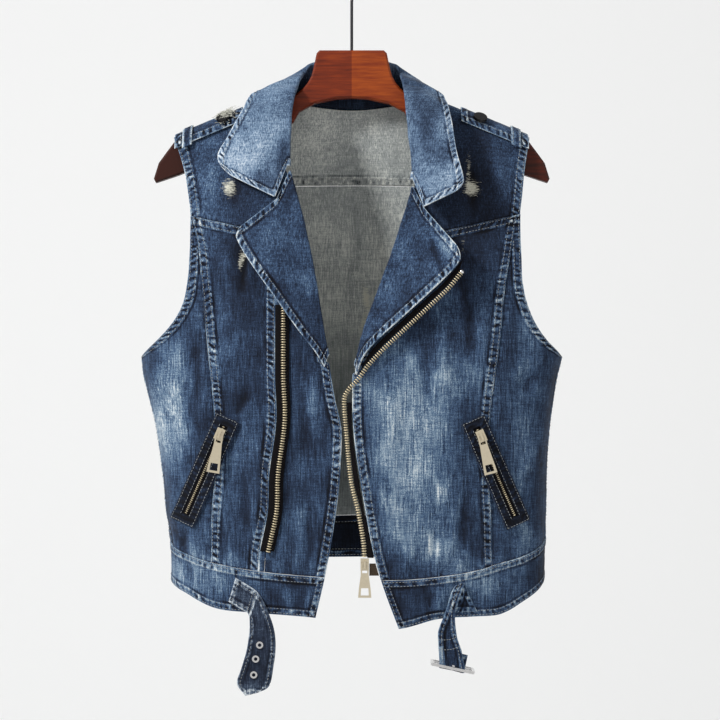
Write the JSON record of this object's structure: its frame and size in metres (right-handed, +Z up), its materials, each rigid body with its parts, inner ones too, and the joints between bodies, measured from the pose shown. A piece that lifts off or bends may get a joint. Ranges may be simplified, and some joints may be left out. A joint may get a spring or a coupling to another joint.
{
  "type": "denim vest on a wooden hanger",
  "caption": "Sleeveless denim jacket with wide lapels, epaulets, slanted zip pockets and waist straps, hanging open on a flat wooden hanger with a wire hook.",
  "frame": {"origin": "the point inside the top of the hook's crook where a rail bears", "axes": "+X to the viewer's right in the front view, the front faces -Y, +Z up"},
  "size_m": [0.4312, 0.1426, 0.7555],
  "materials": {
    "denim": "worn indigo denim, matte twill",
    "denim_pale": "faded pale denim, matte twill",
    "denim_dark": "dark indigo denim, matte twill",
    "tape": "dark woven tape",
    "brass": "worn brass",
    "nickel": "pale plated metal",
    "silver": "polished plating",
    "wood": "varnished, red-brown",
    "wire": "dark wire"
  },
  "bodies": {
    "vest": {"centre_front_l": "denim", "centre_front_r": "denim", "collar": "denim_pale", "epaulet_button_l": "silver", "epaulet_button_r": "silver", "epaulet_l": "denim", "epaulet_r": "denim", "eyelet_1": "silver", "eyelet_2": "silver", "eyelet_3": "silver", "hanger_hook": "wire", "hanger_wood": "wood", "lapel_l": "denim", "lapel_r": "denim", "overlap_front_l": "denim", "panel_back": "denim", "pocket_slider_l": "nickel", "pocket_slider_r": "nickel", "pocket_welt_l": "denim_dark", "pocket_welt_r": "denim_dark", "pocket_zip_l": "brass", "pocket_zip_r": "brass", "side_front_l": "denim", "side_front_r": "denim", "strap_l": "denim", "strap_r": "denim", "waistband_back": "denim", "waistband_front_l": "denim", "waistband_front_r": "denim", "yoke_back": "denim", "yoke_front_l": "denim", "yoke_front_r": "denim", "zip_box": "brass", "zip_slider": "nickel", "zip_tape_l": "tape", "zip_tape_r": "tape", "zip_tape_r_top": "tape", "zip_teeth_l": "brass", "zip_teeth_r": "brass"},
    "zip_pull": {"zip_pull": "nickel"},
    "pocket_pull_l": {"pocket_pull_l": "nickel"},
    "pocket_pull_r": {"pocket_pull_r": "nickel"},
    "buckle_frame": {"buckle_frame": "silver"},
    "buckle_prong": {"buckle_prong": "silver"}
  },
  "joints": [
    {"name": "zip_pull_swing", "type": "hinge", "parent": "vest", "child": "zip_pull", "pos_m": [0.0132, -0.07065, -0.6198], "axis": [-1, 0, 0], "range_deg": [0, 100]},
    {"name": "pocket_pull_l_swing", "type": "hinge", "parent": "vest", "child": "pocket_pull_l", "pos_m": [-0.13144, -0.06644, -0.49003], "axis": [-0.9848, 0, 0.1736], "range_deg": [0, 100]},
    {"name": "pocket_pull_r_swing", "type": "hinge", "parent": "vest", "child": "pocket_pull_r", "pos_m": [0.12921, -0.06793, -0.49184], "axis": [-0.9681, 0, -0.2504], "range_deg": [0, 100]},
    {"name": "buckle_frame_turn", "type": "hinge", "parent": "vest", "child": "buckle_frame", "pos_m": [0.1005, -0.06961, -0.7225], "axis": [-0.9781, 0, 0.2079], "range_deg": [-30, 30]},
    {"name": "buckle_prong_lift", "type": "hinge", "parent": "buckle_frame", "child": "buckle_prong", "pos_m": [0.1005, -0.06961, -0.7225], "axis": [-0.9781, 0, 0.2079], "range_deg": [0, 30]}
  ]
}
